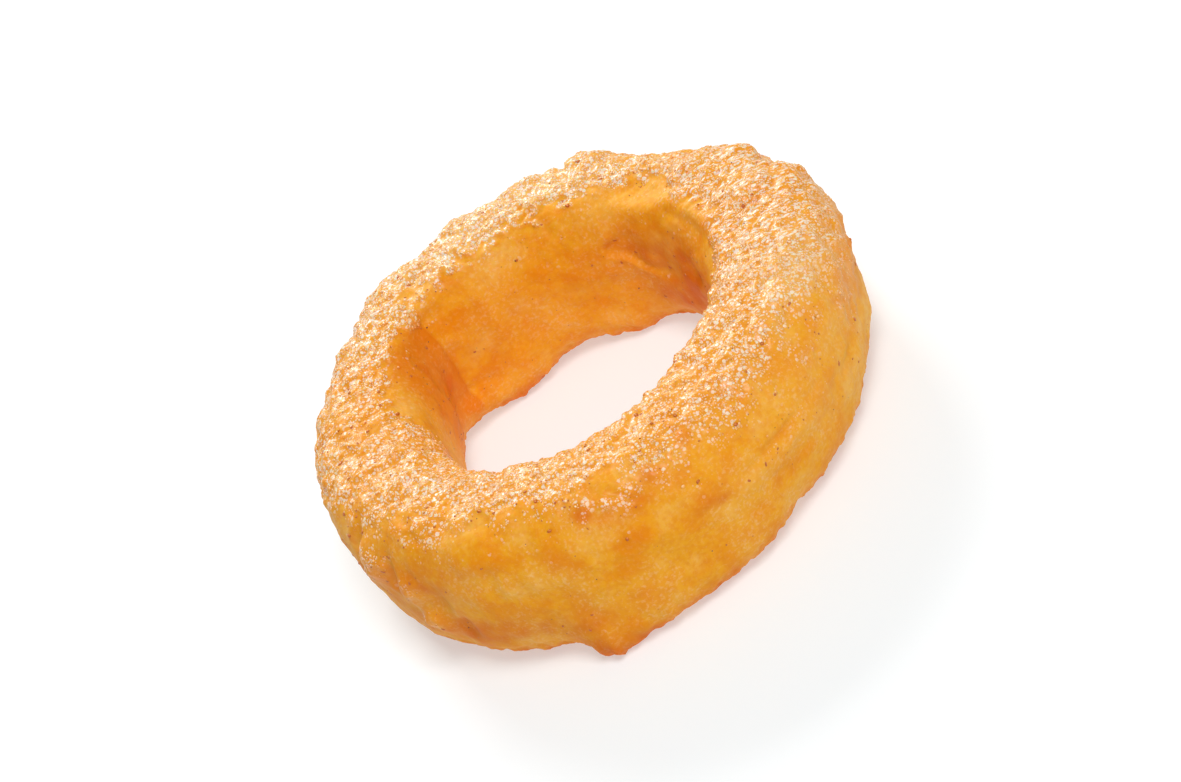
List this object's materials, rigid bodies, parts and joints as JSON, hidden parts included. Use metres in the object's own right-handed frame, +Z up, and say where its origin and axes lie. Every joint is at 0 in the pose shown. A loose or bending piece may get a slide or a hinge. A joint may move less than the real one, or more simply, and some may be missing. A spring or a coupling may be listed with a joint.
{
  "type": "battered onion ring",
  "caption": "Thick battered, deep-fried onion ring lying flat: a chunky uneven loop of golden crust with steep walls, rounded rims, an open hole and a small drip of batter low on its side.",
  "frame": {"origin": "on the ground, under the middle of the ring's footprint", "axes": "+Z up out of the upper rim, through the hole; -Y towards the side with the drip of batter; +X to the right as seen from that side"},
  "size_m": [0.0758, 0.0738, 0.0228],
  "materials": {
    "golden_crust": "grainy, lightly oily fried batter"
  },
  "bodies": {
    "root": {"onion_ring": "golden_crust"}
  },
  "joints": []
}
